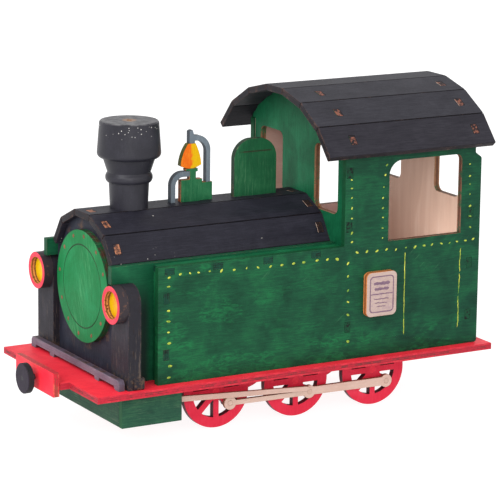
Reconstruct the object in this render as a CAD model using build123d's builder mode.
from build123d import *
import math
import os

# Toy tank locomotive in tab-and-slot plywood, millimetres.
# Frame: +Z up, the front of the engine points to -X, its left side to -Y.
# Origin: centre of the footprint, on the table under the wheels.
# Design values are engine stations: X behind the footplate's front edge,
# Z above the footplate's upper face, Y from the centreline.
# X0/X1 are front and rear ends, IN/OUT the |Y| of inner and outer faces.

# ------------------------------------------------------- shared dimensions
PLY = 5.0                 # plywood sheet thickness
SLOT = 0.05               # clearance of a tab in its slot, per side
TAB = 8.0                 # width of a tab
RUN = 0.06                # running clearance, radial
PIN_R = 2.0               # crank pins and dowels
SIDES = (("left", -1), ("right", 1))

FRONT_X = -159.0          # model X of the footplate's front edge
DECK_Z = 47.0             # model Z of the footplate's upper face
TONGUE_L = 7.0            # reach of the front tongue ahead of the footplate

BUFFER_REACH = 15.0       # buffer's front face ahead of the tongue
DOWEL_HOLE = 12.0         # depth of the buffer dowel in the tongue

CYL_X0 = 26.6
CYL_X1 = 75.8
CYL_OUT = 66.0
CYL_BOTTOM = -30.5

AXLE_PITCH = 69.0
AXLE_X = [116.6 + i * AXLE_PITCH for i in range(3)]
AXLE_Z = -19.5
AXLE_R = 3.0
WHEEL_IN = 39.0
WHEEL_OUT = WHEEL_IN + PLY
CRANK_X = 10.0            # crank pin offset, rearward
CRANK_DROP = 9.2          # crank pin offset, downward
PIN_X = [x + CRANK_X for x in AXLE_X]
PIN_Z = AXLE_Z - CRANK_DROP
ROD_IN = 45.0
ROD_T = 3.0
ROD_OUT = ROD_IN + ROD_T
BAR_IN = 49.2             # slide bars
BAR_T = 2.5

PANEL_OUT = 71.5          # side panels
PANEL_IN = PANEL_OUT - PLY
PANEL_TOP = 163.0         # under the roof
TANK_X0 = 57.0            # front face of the tank bulkheads
TANK_Z = 87.5             # top of the side panels along the tank
TANK_TOP_Z = TANK_Z - 1.0 - PLY   # underside of the tank tops
CAB_FRONT_X = 211.0       # front face of the cab front wall
CAB_REAR_X = 320.0        # front face of the cab rear wall

BOARD_OUT = 56.0          # boiler side boards
BOARD_IN = BOARD_OUT - PLY
PLATE_X = 32.0            # front face of the smokebox front plate
FORMER_X = 203.0          # front face of the rear former

# Outer (Y, Z) corners of the plank shells, left to right
BOILER = ((-48.8, 87.6), (-36.0, 107.0), (-12.5, 117.8),
          (12.5, 117.8), (36.0, 107.0), (48.8, 87.6))
ROOF = ((-83.2, 158.6), (-65.2, 178.6), (-39.5, 193.0), (-12.5, 199.8),
        (12.5, 199.8), (39.5, 193.0), (65.2, 178.6), (83.2, 158.6))
SEAM = 0.6                # gap between neighbouring planks
TOP_PLANK = 2             # index of the boiler's top plank
ROOF_TOP_PLANK = 3        # index of the roof's top plank, which has no slots
BOILER_TOP = BOILER[TOP_PLANK][1]

# (X start, X end) of the tabs standing in the boiler's top plank
DOME_TAB = (165.0, 179.0)
VALVE_TAB = (110.0, 124.0)
TOP_TAB_Z = BOILER_TOP - PLY      # lower end of those tabs

LAMP_Y = 62.0
LAMP_Z = 61.7             # also the height of the smokebox door's centre
POST_X0 = 26.9            # front face of the lamp posts
CHIM_X = 65.6             # chimney axis

os.makedirs("parts", exist_ok=True)


# ----------------------------------------------------------------- helpers
def across(x):
    """Sketch plane across the engine: local x is Y, local y is Z, normal +X."""
    return Plane(origin=(FRONT_X + x, 0, DECK_Z), x_dir=(0, 1, 0), z_dir=(1, 0, 0))


def along(y):
    """Sketch plane along the engine: local x is X, local y is Z, normal -Y."""
    return Plane(origin=(FRONT_X, y, DECK_Z), x_dir=(1, 0, 0), z_dir=(0, -1, 0))


def level(z):
    """Level sketch plane: local x is X, local y is Y, normal +Z."""
    return Plane(origin=(FRONT_X, 0, DECK_Z + z), x_dir=(1, 0, 0), z_dir=(0, 0, 1))


def side_plane(sign, near, far):
    """Plane from which a plate extruded by far-near fills |Y| near..far."""
    return along(-near) if sign < 0 else along(far)


def edge_directions(start, end):
    """Unit vectors of a shell edge: along it and inward from it."""
    dy = end[0] - start[0]
    dz = end[1] - start[1]
    length = math.hypot(dy, dz)
    return (dy / length, dz / length), (dz / length, -dy / length)


def inner_line(points):
    """Inner polyline of a mitred plank shell, one sheet thick."""
    normals = [edge_directions(start, end)[1] for start, end in zip(points, points[1:])]
    before = [normals[0]] + normals
    after = normals + [normals[-1]]
    inner = []
    for (y, z), a, b in zip(points, before, after):
        reach = PLY / (1 + a[0] * b[0] + a[1] * b[1])
        inner.append((y + (a[0] + b[0]) * reach, z + (a[1] + b[1]) * reach))
    return inner


def plank_section(points, i):
    """Section of plank i: outer and inner edge, shortened for the seams."""
    inner = inner_line(points)
    unit, _ = edge_directions(points[i], points[i + 1])
    start_gap = SEAM / 2 if i > 0 else 0.0
    end_gap = SEAM / 2 if i < len(points) - 2 else 0.0

    def shifted(point, distance):
        return (point[0] + unit[0] * distance, point[1] + unit[1] * distance)

    return [shifted(points[i], start_gap), shifted(points[i + 1], -end_gap),
            shifted(inner[i + 1], -end_gap), shifted(inner[i], start_gap)]


def plank_centre(points, i):
    """Location at the centre of plank i's section, turned to its slope."""
    (y0, z0), (y1, z1) = points[i], points[i + 1]
    _, normal = edge_directions(points[i], points[i + 1])
    slope = math.degrees(math.atan2(z1 - z0, y1 - y0))
    return Location(((y0 + y1) / 2 + normal[0] * PLY / 2,
                     (z0 + z1) / 2 + normal[1] * PLY / 2, 0), (0, 0, slope))


def save(builder, name):
    builder.part.label = name
    export_step(builder.part, "parts/" + name + ".step")


BOILER_IN = inner_line(BOILER)
ROOF_IN = inner_line(ROOF)
CENTRE_PLATE = along(PLY / 2)     # start plane of a sheet on the centreline

# -------------------------------------------------------------- footplate
# Deck board with the front tongue, openings over the wheels and rods, and a
# blind hole in the tongue for the buffer dowel.
FOOT_L = 340.0
FOOT_W = 160.0
TONGUE_W = 68.0
OPENING_X0, OPENING_X1 = 88.0, 282.0
OPENING_IN, OPENING_OUT = 36.5, 50.5

with BuildPart() as footplate:
    with BuildSketch(level(-PLY)):
        with Locations((FOOT_L / 2, 0)):
            Rectangle(FOOT_L, FOOT_W)
        with Locations((-TONGUE_L / 2, 0)):
            Rectangle(TONGUE_L, TONGUE_W)
        for _, sign in SIDES:
            with Locations(((OPENING_X0 + OPENING_X1) / 2,
                            sign * (OPENING_IN + OPENING_OUT) / 2)):
                RectangleRounded(OPENING_X1 - OPENING_X0, OPENING_OUT - OPENING_IN, 3,
                                 mode=Mode.SUBTRACT)
    extrude(amount=PLY)
    with BuildSketch(across(-TONGUE_L)):
        with Locations((0, -PLY / 2)):
            Circle(PIN_R)
    extrude(amount=DOWEL_HOLE, mode=Mode.SUBTRACT)
save(footplate, "footplate")

# -------------------------------------------------------- buffer and beam
BEAM_W, BEAM_H = 64.0, 18.0
BEAM_Z = -1.5
BUFFER_R = 11.4
BUFFER_CHAMFER = 0.5

with BuildPart() as buffer_beam:
    with BuildSketch(across(-TONGUE_L - PLY)):
        with Locations((0, BEAM_Z)):
            Rectangle(BEAM_W, BEAM_H)
        with Locations((0, -PLY / 2)):
            Circle(PIN_R, mode=Mode.SUBTRACT)
    extrude(amount=PLY)
save(buffer_beam, "buffer_beam")

with BuildPart() as buffer:
    with BuildSketch(across(-TONGUE_L - BUFFER_REACH)):
        with Locations((0, -PLY / 2)):
            Circle(BUFFER_R)
            Circle(PIN_R, mode=Mode.SUBTRACT)
    extrude(amount=PLY)
    rims = buffer.edges().filter_by(GeomType.CIRCLE).group_by(SortBy.RADIUS)[-1]
    chamfer(rims, BUFFER_CHAMFER)
save(buffer, "buffer")

with BuildPart() as buffer_dowel:
    with BuildSketch(across(-TONGUE_L - BUFFER_REACH)):
        with Locations((0, -PLY / 2)):
            Circle(PIN_R)
    extrude(amount=BUFFER_REACH + DOWEL_HOLE)
save(buffer_dowel, "buffer_dowel")

# ------------------------------------------ cylinder block under the front
CYL_H = -PLY - CYL_BOTTOM
CYL_MID_Z = (CYL_BOTTOM - PLY) / 2
BAR_SLOT_Z, BAR_SLOT_H = -18.4, 5.6

for name, x in (("cylinder_front", CYL_X0), ("cylinder_rear", CYL_X1 - PLY)):
    with BuildPart() as cylinder_end:
        with BuildSketch(across(x)):
            with Locations((0, CYL_MID_Z)):
                Rectangle(2 * (CYL_OUT - PLY), CYL_H)
            if name == "cylinder_rear":
                for _, sign in SIDES:
                    with Locations((sign * (BAR_IN + BAR_T / 2), BAR_SLOT_Z)):
                        Rectangle(BAR_T + 2 * SLOT, BAR_SLOT_H, mode=Mode.SUBTRACT)
        extrude(amount=PLY)
    save(cylinder_end, name)

with BuildPart() as cylinder_sides:
    for _, sign in SIDES:
        with BuildSketch(side_plane(sign, CYL_OUT - PLY, CYL_OUT)):
            with Locations(((CYL_X0 + CYL_X1) / 2, CYL_MID_Z)):
                Rectangle(CYL_X1 - CYL_X0, CYL_H)
        extrude(amount=PLY)
save(cylinder_sides, "cylinder_sides")

# ---------------------------------------------- inner frames with bearings
FRAME_IN = 25.0
FRAME_X1 = 300.0
FRAME_H = 9.0
BEARING_R = 6.5
BEARING_WEB_H = 10.0      # block joining a bearing to the frame above it

for side, sign in SIDES:
    with BuildPart() as frame:
        with BuildSketch(side_plane(sign, FRAME_IN, FRAME_IN + PLY)):
            with Locations(((CYL_X1 + FRAME_X1) / 2, -PLY - FRAME_H / 2)):
                Rectangle(FRAME_X1 - CYL_X1, FRAME_H)
            for x in AXLE_X:
                with Locations((x, AXLE_Z)):
                    Circle(BEARING_R)
                with Locations((x, AXLE_Z + BEARING_WEB_H / 2)):
                    Rectangle(2 * BEARING_R, BEARING_WEB_H)
            for x in AXLE_X:
                with Locations((x, AXLE_Z)):
                    Circle(AXLE_R + RUN, mode=Mode.SUBTRACT)
        extrude(amount=PLY)
    save(frame, "frame_" + side)

# ----------------------------------------------------- axles, wheels, pins
WHEEL_R = 27.5
RIM_IN_R = 19.6
HUB_R = 7.0
SPOKES = 8
SPOKE_L, SPOKE_W = 15.0, 4.6
SPOKE_MID_R = 13.0        # radius of a spoke's centre
CRANK_BOSS_R = 3.6

for place, x, pin_x in zip(("front", "middle", "rear"), AXLE_X, PIN_X):
    with BuildPart() as axle:
        with BuildSketch(along(WHEEL_OUT)):
            with Locations((x, AXLE_Z)):
                Circle(AXLE_R)
        extrude(amount=2 * WHEEL_OUT)
    save(axle, "axle_" + place)

    for side, sign in SIDES:
        with BuildPart() as wheel:
            with BuildSketch(side_plane(sign, WHEEL_IN, WHEEL_OUT)):
                with Locations((x, AXLE_Z)):
                    Circle(WHEEL_R)
                    Circle(RIM_IN_R, mode=Mode.SUBTRACT)
                    Circle(HUB_R)
                    with PolarLocations(SPOKE_MID_R, SPOKES, start_angle=90):
                        Rectangle(SPOKE_L, SPOKE_W)
                    Circle(AXLE_R, mode=Mode.SUBTRACT)
                with Locations((pin_x, PIN_Z)):
                    Circle(CRANK_BOSS_R)
                    Circle(PIN_R, mode=Mode.SUBTRACT)
            extrude(amount=PLY)
        save(wheel, "wheel_" + place + "_" + side)

    with BuildPart() as crank_pins:
        for _, sign in SIDES:
            with BuildSketch(side_plane(sign, WHEEL_IN, ROD_OUT)):
                with Locations((pin_x, PIN_Z)):
                    Circle(PIN_R)
            extrude(amount=ROD_OUT - WHEEL_IN)
    save(crank_pins, "crank_pins_" + place)

# ----------------------------------------------------------- coupling rods
ROD_BOSS_R = 5.1
# (pin index, X behind that pin, Z above the pins)
ROD_OUTLINE = ((0, 0.0, 1.8), (1, -15.6, 1.4), (1, -5.0, 3.4), (1, 0.0, 3.6),
               (2, 0.0, 3.2), (2, 0.0, -3.6), (1, 0.0, -2.6), (0, 0.0, -1.9))

for side, sign in SIDES:
    with BuildPart() as rod:
        with BuildSketch(side_plane(sign, ROD_IN, ROD_OUT)):
            with BuildLine():
                Polyline(*[(PIN_X[pin] + dx, PIN_Z + dz) for pin, dx, dz in ROD_OUTLINE],
                         close=True)
            make_face()
            for x in PIN_X:
                with Locations((x, PIN_Z)):
                    Circle(ROD_BOSS_R)
            for x in PIN_X:
                with Locations((x, PIN_Z)):
                    Circle(PIN_R + RUN, mode=Mode.SUBTRACT)
        extrude(amount=ROD_T)
    save(rod, "coupling_rod_" + side)

# Slide bars: fixed bars from the cylinder block, sloping slightly down to the
# rear, outboard of the coupling rods. Outline in (X, Z).
BAR_OUTLINE = ((66, -15.9), (190.5, -23.0), (194.0, -24.2), (194.0, -25.4),
               (190.5, -26.6), (177.6, -25.9), (129.2, -23.7), (66, -20.1))

with BuildPart() as slide_bars:
    for _, sign in SIDES:
        with BuildSketch(side_plane(sign, BAR_IN, BAR_IN + BAR_T)):
            with BuildLine():
                Polyline(*BAR_OUTLINE, close=True)
            make_face()
        extrude(amount=BAR_T)
save(slide_bars, "slide_bars")

# ---------------------------------------------------- side panels and tank
PANEL_X0 = 52.7
PANEL_X1 = 331.5
PANEL_CAB_X0 = 209.6      # front edge of the panel's cab part
PANEL_CAB_X1 = 326.0      # rear edge near the roof
PANEL_OUTLINE = ((PANEL_X0, 0), (PANEL_X1, 0), (PANEL_X1, 145.6),
                 (PANEL_CAB_X1, 149.6), (PANEL_CAB_X1, PANEL_TOP),
                 (PANEL_CAB_X0, PANEL_TOP), (PANEL_CAB_X0, TANK_Z), (PANEL_X0, TANK_Z))
PANEL_CORNER_R = 2.5
WINDOW_X0, WINDOW_X1 = 248.2, 313.6
WINDOW_Z0, WINDOW_Z1 = 88.0, 149.5
WINDOW_FRONT_R = 11.5
WINDOW_REAR_R = 5.0

# Heights of the cross walls' tabs in the side panels
BULKHEAD_TABS_Z = (22.0, 64.0)
CAB_FRONT_TABS_Z = (25.0, 102.0, 143.0)
CAB_REAR_TABS_Z = (23.0, 64.0, 103.0)
WALL_TABS = ((TANK_X0, BULKHEAD_TABS_Z), (CAB_FRONT_X, CAB_FRONT_TABS_Z),
             (CAB_REAR_X, CAB_REAR_TABS_Z))
TANK_TOP_TABS_X = (62.0, 102.0, 144.0, 185.0)
PANEL_MID = (PANEL_IN + PANEL_OUT) / 2
TANK_W = PANEL_IN - BOARD_OUT
TANK_MID = (BOARD_OUT + PANEL_IN) / 2

for side, sign in SIDES:
    with BuildPart() as panel:
        with BuildSketch(side_plane(sign, PANEL_IN, PANEL_OUT)):
            with BuildLine():
                Polyline(*PANEL_OUTLINE, close=True)
            make_face()
            # side window: big radius at the upper front, small at the upper rear
            with BuildSketch(mode=Mode.SUBTRACT):
                with BuildLine():
                    Polyline((WINDOW_X0, WINDOW_Z0), (WINDOW_X1, WINDOW_Z0),
                             (WINDOW_X1, WINDOW_Z1), (WINDOW_X0, WINDOW_Z1), close=True)
                make_face()
                fillet(vertices().group_by(Axis.Y)[-1].sort_by(Axis.X)[0], WINDOW_FRONT_R)
                fillet(vertices().group_by(Axis.Y)[-1].sort_by(Axis.X)[-1], WINDOW_REAR_R)
            for wall_x, tabs_z in WALL_TABS:
                for z in tabs_z:
                    with Locations((wall_x + PLY / 2, z)):
                        Rectangle(PLY + 2 * SLOT, TAB + 2 * SLOT, mode=Mode.SUBTRACT)
            for x in TANK_TOP_TABS_X:
                with Locations((x, TANK_TOP_Z + PLY / 2)):
                    Rectangle(TAB + 2 * SLOT, PLY + 2 * SLOT, mode=Mode.SUBTRACT)
        extrude(amount=PLY)
        # rounded rear corners
        fillet(panel.edges().filter_by(Axis.Y).group_by(Axis.X)[-1], PANEL_CORNER_R)
    save(panel, "side_panel_" + side)

with BuildPart() as tank_tops:
    for _, sign in SIDES:
        with BuildSketch(level(TANK_TOP_Z)):
            with Locations(((TANK_X0 + CAB_FRONT_X) / 2, sign * TANK_MID)):
                Rectangle(CAB_FRONT_X - TANK_X0, TANK_W)
            for x in TANK_TOP_TABS_X:
                with Locations((x, sign * PANEL_MID)):
                    Rectangle(TAB, PLY)
        extrude(amount=PLY)
save(tank_tops, "tank_tops")

with BuildPart() as tank_bulkheads:
    for _, sign in SIDES:
        with BuildSketch(across(TANK_X0)):
            with Locations((sign * TANK_MID, TANK_TOP_Z / 2)):
                Rectangle(TANK_W, TANK_TOP_Z)
            for z in BULKHEAD_TABS_Z:
                with Locations((sign * PANEL_MID, z)):
                    Rectangle(PLY, TAB)
        extrude(amount=PLY)
save(tank_bulkheads, "tank_bulkheads")

# ------------------------------------------------------------------ boiler
# Side boards: stepped back at the lower front to clear the lamp posts.
BOARD_TOP = 88.0
BOARD_X0 = 22.7
BOARD_STEP_X = 39.1
BOARD_STEP_Z = 74.8

for side, sign in SIDES:
    with BuildPart() as board:
        with BuildSketch(side_plane(sign, BOARD_IN, BOARD_OUT)):
            with BuildLine():
                Polyline((BOARD_X0, BOARD_TOP), (BOARD_X0, BOARD_STEP_Z),
                         (BOARD_STEP_X, BOARD_STEP_Z), (BOARD_STEP_X, 0),
                         (CAB_FRONT_X, 0), (CAB_FRONT_X, BOARD_TOP), close=True)
            make_face()
        extrude(amount=PLY)
    save(board, "boiler_side_" + side)

# Smokebox front plate and rear former: between the side boards, arched under
# the planks, each with a tab through every plank. The rear former stands clear
# of the middle wheels, which reach up through the footplate.
SHOULDER_Z = 84.0         # top of the formers' straight sides
REAR_FORMER_BASE = 12.0

for name, x, base in (("smokebox_front", PLATE_X, 0.0),
                      ("boiler_former_rear", FORMER_X, REAR_FORMER_BASE)):
    with BuildPart() as former:
        with BuildSketch(across(x)):
            with BuildLine():
                Polyline((-BOARD_IN, base), (-BOARD_IN, SHOULDER_Z), *BOILER_IN,
                         (BOARD_IN, SHOULDER_Z), (BOARD_IN, base), close=True)
            make_face()
            for i in range(len(BOILER) - 1):
                with Locations(plank_centre(BOILER, i)):
                    Rectangle(TAB, PLY)
        extrude(amount=PLY)
    save(former, name)

# Planks. The tabs of the dome and of the valve set stand in the top plank,
# and the chimney dowel goes through it.
PLANK_X0 = 26.8
SLOT_CUT = PLY + 1        # cut depth of a slot, past the sheet thickness

for i in range(len(BOILER) - 1):
    with BuildPart() as plank:
        with BuildSketch(across(PLANK_X0)):
            with BuildLine():
                Polyline(*plank_section(BOILER, i), close=True)
            make_face()
        extrude(amount=CAB_FRONT_X - PLANK_X0)
        for x in (PLATE_X, FORMER_X):
            with BuildSketch(across(x - SLOT)):
                with Locations(plank_centre(BOILER, i)):
                    Rectangle(TAB + 2 * SLOT, SLOT_CUT)
            extrude(amount=PLY + 2 * SLOT, mode=Mode.SUBTRACT)
        if i == TOP_PLANK:
            with BuildSketch(level(BOILER_TOP)):
                for x0, x1 in (DOME_TAB, VALVE_TAB):
                    with Locations(((x0 + x1) / 2, 0)):
                        Rectangle(x1 - x0 + 2 * SLOT, PLY + 2 * SLOT)
                with Locations((CHIM_X, 0)):
                    Circle(PIN_R)
            extrude(amount=-SLOT_CUT, mode=Mode.SUBTRACT)
    save(plank, "boiler_plank_%d" % (i + 1))

# Smokebox door: round board with an engraved inner circle.
DOOR_R = 42.0
DOOR_RING_OUT_R = 31.4
DOOR_RING_IN_R = 30.9
ENGRAVING = 0.4           # depth of engraved lines, also on the dome

with BuildPart() as smokebox_door:
    with BuildSketch(across(PLATE_X - PLY)):
        with Locations((0, LAMP_Z)):
            Circle(DOOR_R)
    extrude(amount=PLY)
    with BuildSketch(across(PLATE_X - PLY)):
        with Locations((0, LAMP_Z)):
            Circle(DOOR_RING_OUT_R)
            Circle(DOOR_RING_IN_R, mode=Mode.SUBTRACT)
    extrude(amount=ENGRAVING, mode=Mode.SUBTRACT)
save(smokebox_door, "smokebox_door")

# ------------------------------------------------------------------- lamps
POST_X1 = 37.0
POST_R = 13.4             # half width of a post and radius of its round top
POST_ROUND_Z = 62.6       # centre of the round top
POST_CUT_Y = 46.1         # centre of the cut on the inner side
POST_CUT_W, POST_CUT_H, POST_CUT_L = 10.0, 90.0, 10.0
FOOT_X0 = 31.0
FOOT_Y = 66.4
POST_FOOT_L, POST_FOOT_W, POST_FOOT_H = 8.4, 20.4, 9.0
POST_FOOT_R = 1.6
RING_X0 = 19.2
RING_R = 14.0
LENS_X0 = 23.4
LENS_R = 10.2

with BuildPart() as lamp_posts:
    for _, sign in SIDES:
        with BuildSketch(across(POST_X0)):
            with Locations((sign * LAMP_Y, POST_ROUND_Z / 2)):
                Rectangle(2 * POST_R, POST_ROUND_Z)
            with Locations((sign * LAMP_Y, POST_ROUND_Z)):
                Circle(POST_R)
        extrude(amount=POST_X1 - POST_X0)
        # cut back on the inner side, clear of the smokebox plate
        with BuildSketch(across(PLATE_X - SLOT)):
            with Locations((sign * POST_CUT_Y, POST_CUT_H / 2)):
                Rectangle(POST_CUT_W, POST_CUT_H)
        extrude(amount=POST_CUT_L, mode=Mode.SUBTRACT)
        # foot, reaching behind the post and beyond its outer side
        with BuildSketch(across(FOOT_X0)):
            with Locations((sign * FOOT_Y, POST_FOOT_H / 2)):
                RectangleRounded(POST_FOOT_W, POST_FOOT_H, POST_FOOT_R)
        extrude(amount=POST_FOOT_L)
save(lamp_posts, "lamp_posts")

with BuildPart() as lamp_rings:
    with BuildSketch(across(RING_X0)):
        with Locations((-LAMP_Y, LAMP_Z), (LAMP_Y, LAMP_Z)):
            Circle(RING_R)
            Circle(LENS_R, mode=Mode.SUBTRACT)
    extrude(amount=POST_X0 - RING_X0)
save(lamp_rings, "lamp_rings")

with BuildPart() as lamp_lenses:
    with BuildSketch(across(LENS_X0)):
        with Locations((-LAMP_Y, LAMP_Z), (LAMP_Y, LAMP_Z)):
            Circle(LENS_R)
    extrude(amount=POST_X0 - LENS_X0)
save(lamp_lenses, "lamp_lenses")

# Low rail across the front, standing on four feet.
RAIL_X0 = 20.2
RAIL_T = 4.8
# Right half of the outline in (Y, Z), from the top edge down and inward
RAIL_HALF = ((71.5, 8.0), (73.5, 5.6), (73.5, 0), (66.5, 0), (65.0, 2.6),
             (41.5, 2.6), (40.8, 0), (34.2, 0), (33.5, 2.6))

with BuildPart() as front_rail:
    with BuildSketch(across(RAIL_X0)):
        with BuildLine():
            Polyline(*[(-y, z) for y, z in RAIL_HALF], *reversed(RAIL_HALF), close=True)
        make_face()
    extrude(amount=RAIL_T)
save(front_rail, "front_rail")

# ----------------------------------------------------------------- chimney
# Turned profile in (radius, Z), from the boiler up, with a bead below the
# flared cap.
CHIM_TOP = 183.0
CHIM_DOWEL_Z0 = 100.0
CHIM_DOWEL_L = 82.4

with BuildPart() as chimney:
    with BuildSketch(Plane(origin=(FRONT_X + CHIM_X, 0, DECK_Z),
                           x_dir=(1, 0, 0), z_dir=(0, -1, 0))):
        with BuildLine():
            Polyline((PIN_R, BOILER_TOP), (14.1, BOILER_TOP), (15.0, 137.4), (16.4, 137.6))
            ThreePointArc((16.4, 137.6), (17.6, 140.8), (16.4, 144.0))
            Polyline((16.4, 144.0), (16.1, 144.8), (19.6, 155.4))
            ThreePointArc((19.6, 155.4), (22.6, 156.4), (23.8, 159.2))
            Polyline((23.8, 159.2), (23.7, 161.0), (22.1, 182.0), (21.2, CHIM_TOP),
                     (PIN_R, CHIM_TOP), (PIN_R, BOILER_TOP))
        make_face()
    revolve(axis=Axis((FRONT_X + CHIM_X, 0, 0), (0, 0, 1)))
save(chimney, "chimney")

with BuildPart() as chimney_dowel:
    with BuildSketch(Plane(origin=(FRONT_X + CHIM_X, 0, DECK_Z + CHIM_DOWEL_Z0))):
        Circle(PIN_R)
    extrude(amount=CHIM_DOWEL_L)
save(chimney_dowel, "chimney_dowel")

# ----------------------------------- safety valve set, steam pipes and dome
# Sheets standing on the centreline, outlines in (X, Z).
VALVE_OUTLINE = (
    (VALVE_TAB[0], TOP_TAB_Z), (VALVE_TAB[1], TOP_TAB_Z), (VALVE_TAB[1], BOILER_TOP),
    (134.6, BOILER_TOP), (134.6, 131.6), (126.0, 131.6), (126.0, 134.6),
    (120.7, 134.6), (120.7, 140.2), (122.2, 140.2), (122.2, 142.8),
    (112.0, 142.8), (112.0, 141.4), (115.4, 140.9), (115.4, 134.6),
    (108.0, 134.6), (108.0, BOILER_TOP), (VALVE_TAB[0], BOILER_TOP))

with BuildPart() as valve_base:
    with BuildSketch(CENTRE_PLATE):
        with BuildLine():
            Polyline(*VALVE_OUTLINE, close=True)
        make_face()
    extrude(amount=PLY)
save(valve_base, "valve_base")

with BuildPart() as valve_bell:
    with BuildSketch(CENTRE_PLATE):
        with BuildLine():
            front = ThreePointArc((113.9, 161.8), (109.6, 154.4), (107.5, 145.4))
            bottom = ThreePointArc(front @ 1, (116.3, 142.8), (125.2, 145.4))
            rear = ThreePointArc(bottom @ 1, (123.4, 154.4), (120.2, 161.8))
            Line(rear @ 1, front @ 0)
        make_face()
        # flat underside on the valve base
        with Locations((117.1, 141.3)):
            Rectangle(20.0, 3.0, mode=Mode.SUBTRACT)
    extrude(amount=PLY)
save(valve_bell, "valve_bell")

with BuildPart() as steam_pipe_rear:
    with BuildSketch(CENTRE_PLATE):
        with BuildLine():
            head = Polyline((115.0, 161.8), (115.0, 171.2), (117.6, 172.0), (119.2, 167.6))
            outer_bend = ThreePointArc(head @ 1, (128.8, 164.8), (132.8, 155.4))
            leg = Polyline(outer_bend @ 1, (132.8, 131.6), (129.2, 131.6), (129.2, 154.6))
            inner_bend = ThreePointArc(leg @ 1, (126.2, 161.4), (119.6, 163.6))
            Polyline(inner_bend @ 1, (119.6, 161.8), head @ 0)
        make_face()
    extrude(amount=PLY)
save(steam_pipe_rear, "steam_pipe_rear")

with BuildPart() as steam_pipe_front:
    with BuildSketch(CENTRE_PLATE):
        with BuildLine():
            leg = Polyline((99.4, BOILER_TOP), (99.4, 130.4))
            outer_bend = ThreePointArc(leg @ 1, (102.4, 138.0), (109.4, 141.1))
            end = Polyline(outer_bend @ 1, (115.4, 140.9), (115.4, 136.9), (109.8, 136.9))
            inner_bend = ThreePointArc(end @ 1, (105.2, 134.9), (103.3, 130.0))
            Polyline(inner_bend @ 1, (103.3, BOILER_TOP), leg @ 0)
        make_face()
        # keeps the top edge below the flange of the valve base
        with Locations((112.5, 142.2)):
            Rectangle(7.0, 1.6, mode=Mode.SUBTRACT)
    extrude(amount=PLY)
save(steam_pipe_front, "steam_pipe_front")

DOME_X0, DOME_X1 = 153.4, 190.0
DOME_SIDE_Z = 147.0       # top of the dome's straight sides
DOME_TOP = 161.4

with BuildPart() as dome:
    with BuildSketch(CENTRE_PLATE):
        with BuildLine():
            base = Polyline((DOME_TAB[0], TOP_TAB_Z), (DOME_TAB[0], BOILER_TOP),
                            (DOME_X0, BOILER_TOP), (DOME_X0, DOME_SIDE_Z))
            front = ThreePointArc(base @ 1, (158.0, 157.0), (167.6, DOME_TOP))
            top = Line(front @ 1, (175.8, DOME_TOP))
            rear = ThreePointArc(top @ 1, (185.4, 157.0), (DOME_X1, DOME_SIDE_Z))
            Polyline(rear @ 1, (DOME_X1, BOILER_TOP), (DOME_TAB[1], BOILER_TOP),
                     (DOME_TAB[1], TOP_TAB_Z), base @ 0)
        make_face()
    extrude(amount=PLY)
    # one engraved line on each face
    for y in (PLY / 2, -PLY / 2 + ENGRAVING):
        with BuildSketch(along(y)):
            with Locations((171.6, 151.6)):
                Rectangle(27.0, 0.8)
        extrude(amount=ENGRAVING, mode=Mode.SUBTRACT)
save(dome, "dome")

# --------------------------------------------------------- cab cross walls
# Both walls have two windows with rounded corners and an arched top that
# follows the roof planks, tabs into the side panels and into six planks.
# The boiler ends against the front wall.
CAB_WINDOW_Y = 41.0
CAB_WINDOW_W = 34.0
CAB_WINDOW_TOP = 159.0
CAB_WINDOW_R = 5.5
EAR_Z = PANEL_TOP + SLOT  # where the wall widens over the side panels
SLOTTED_ROOF = [i for i in range(len(ROOF) - 1) if i != ROOF_TOP_PLANK]

# Y where the roof's inner face meets EAR_Z on the left
(eave_y, eave_z), (knee_y, knee_z) = ROOF_IN[:2]
EAR_Y = eave_y + (knee_y - eave_y) * (EAR_Z - eave_z) / (knee_z - eave_z)

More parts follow.
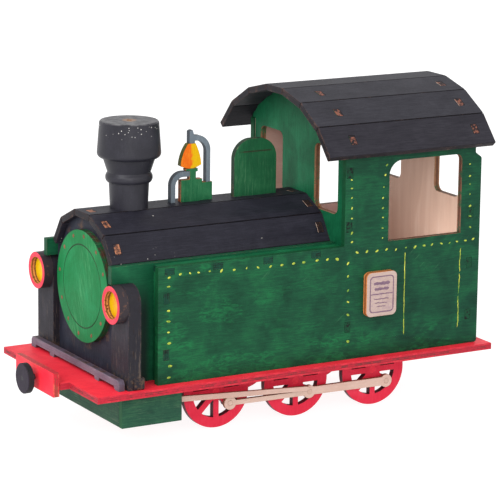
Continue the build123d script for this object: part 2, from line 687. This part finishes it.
for name, x, sill, tabs_z in (("cab_front", CAB_FRONT_X, 109.0, CAB_FRONT_TABS_Z),
                              ("cab_rear", CAB_REAR_X, 112.3, CAB_REAR_TABS_Z)):
    with BuildPart() as wall:
        with BuildSketch(across(x)):
            with BuildLine():
                Polyline((-PANEL_IN, 0), (-PANEL_IN, EAR_Z), (EAR_Y, EAR_Z),
                         *ROOF_IN[1:-1], (-EAR_Y, EAR_Z),
                         (PANEL_IN, EAR_Z), (PANEL_IN, 0), close=True)
            make_face()
            for _, sign in SIDES:
                with Locations((sign * CAB_WINDOW_Y, (sill + CAB_WINDOW_TOP) / 2)):
                    RectangleRounded(CAB_WINDOW_W, CAB_WINDOW_TOP - sill, CAB_WINDOW_R,
                                     mode=Mode.SUBTRACT)
                for z in tabs_z:
                    with Locations((sign * PANEL_MID, z)):
                        Rectangle(PLY, TAB)
            for i in SLOTTED_ROOF:
                with Locations(plank_centre(ROOF, i)):
                    Rectangle(TAB, PLY)
        extrude(amount=PLY)
    save(wall, name)

# -------------------------------------------------------------------- roof
ROOF_X0 = 188.5
ROOF_X1 = 336.0

for i in range(len(ROOF) - 1):
    with BuildPart() as plank:
        with BuildSketch(across(ROOF_X0)):
            with BuildLine():
                Polyline(*plank_section(ROOF, i), close=True)
            make_face()
        extrude(amount=ROOF_X1 - ROOF_X0)
        if i in SLOTTED_ROOF:
            for x in (CAB_FRONT_X, CAB_REAR_X):
                with BuildSketch(across(x - SLOT)):
                    with Locations(plank_centre(ROOF, i)):
                        Rectangle(TAB + 2 * SLOT, SLOT_CUT)
                extrude(amount=PLY + 2 * SLOT, mode=Mode.SUBTRACT)
    save(plank, "roof_plank_%d" % (i + 1))

# ------------------------------------------------------------- name plates
NAME_X, NAME_Z = 240.4, 49.0      # centre of a plate
NAME_L, NAME_H, NAME_R = 26.6, 34.0, 4.0

with BuildPart() as name_plates:
    for _, sign in SIDES:
        with BuildSketch(side_plane(sign, PANEL_OUT, PANEL_OUT + PLY)):
            with Locations((NAME_X, NAME_Z)):
                RectangleRounded(NAME_L, NAME_H, NAME_R)
        extrude(amount=PLY)
save(name_plates, "name_plates")
